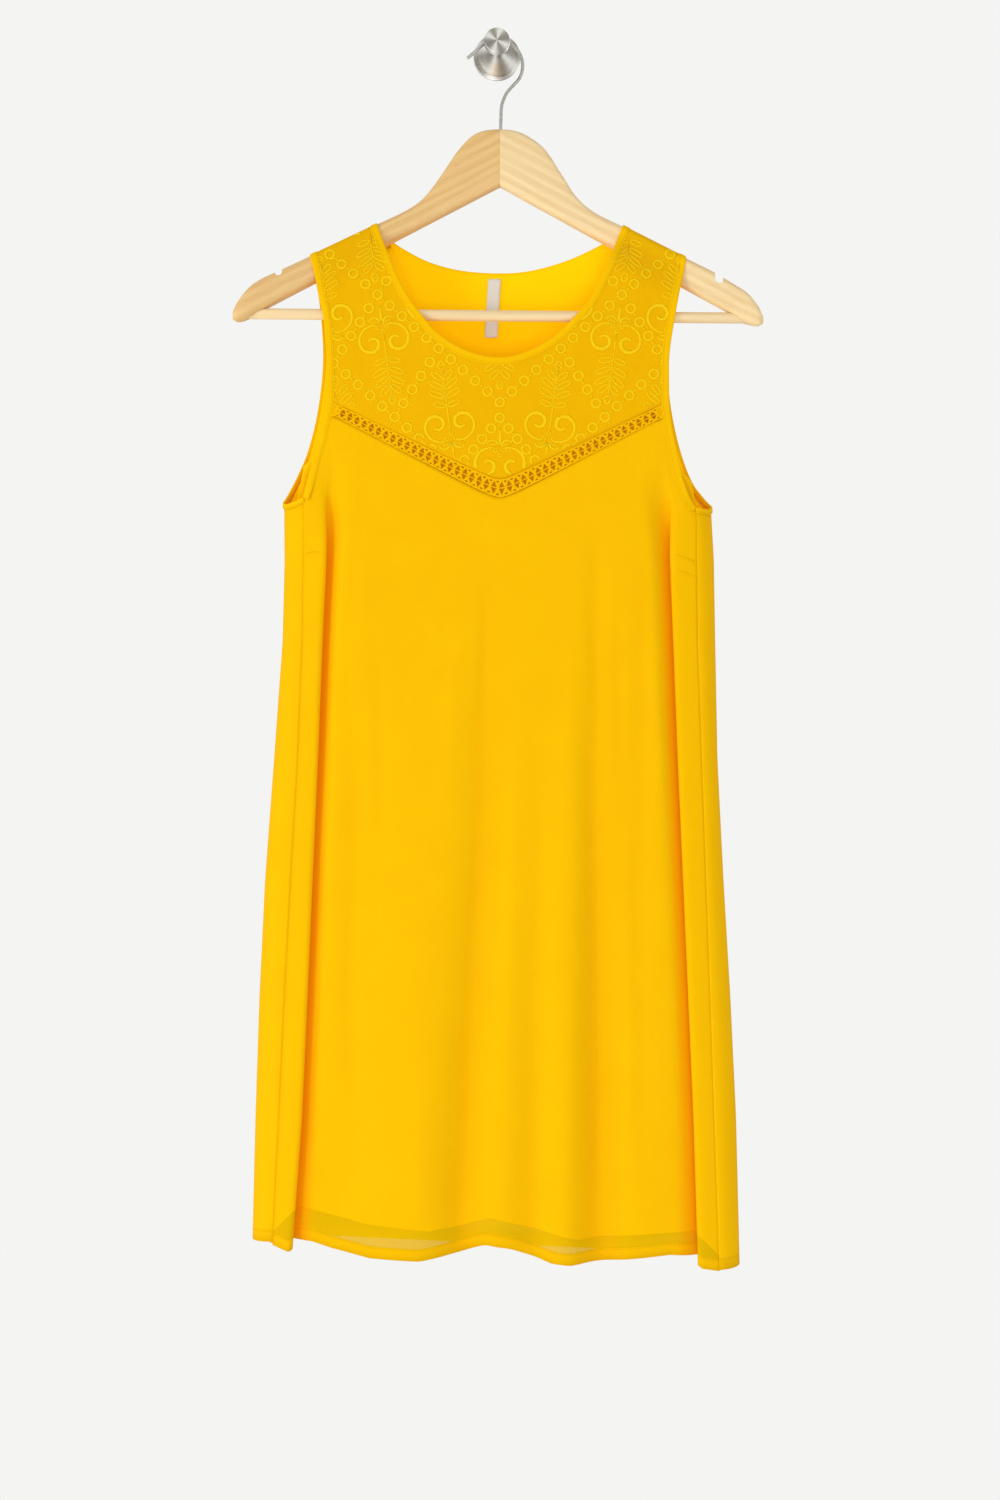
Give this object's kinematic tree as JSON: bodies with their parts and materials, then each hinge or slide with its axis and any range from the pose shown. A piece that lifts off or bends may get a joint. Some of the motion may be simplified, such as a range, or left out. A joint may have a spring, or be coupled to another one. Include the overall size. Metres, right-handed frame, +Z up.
{
  "type": "sleeveless dress on a hanger and wall hook",
  "caption": "Sleeveless shift dress with a sheer embroidered yoke and lace insertion, hung flat on a wooden hanger whose wire hook rests on a round wall hook.",
  "frame": {"origin": "centre of the wall hook's flat back face, on the wall", "axes": "+Y into the wall, +Z up; the dress faces -Y"},
  "size_m": [0.4474, 0.0664, 1.0597],
  "materials": {
    "sheer_yoke": "sheer chiffon with tone-in-tone embroidery",
    "lace_trim": "narrow openwork lace insertion",
    "chiffon": "plain matt chiffon over a lining",
    "lining": "plain smooth lining",
    "binding": "turned chiffon edge, stitched down",
    "label": "blank woven label",
    "wood": "clear-varnished light wood",
    "wire": "polished wire",
    "brushed": "turned, radially brushed"
  },
  "bodies": {
    "root": {"yoke_front": "sheer_yoke", "lace_band": "lace_trim", "front_body": "chiffon", "back_body": "chiffon", "lining_front": "lining", "lining_back": "lining", "neck_binding_front": "binding", "neck_binding_back": "binding", "armhole_binding_front_left": "binding", "armhole_binding_back_left": "binding", "armhole_binding_front_right": "binding", "armhole_binding_back_right": "binding", "neck_label": "label", "hanger_arm_left": "wood", "hanger_arm_right": "wood", "hanger_bar": "wood", "hanger_hook": "wire", "wall_hook_plate": "brushed", "wall_hook_knob": "brushed"}
  },
  "joints": []
}
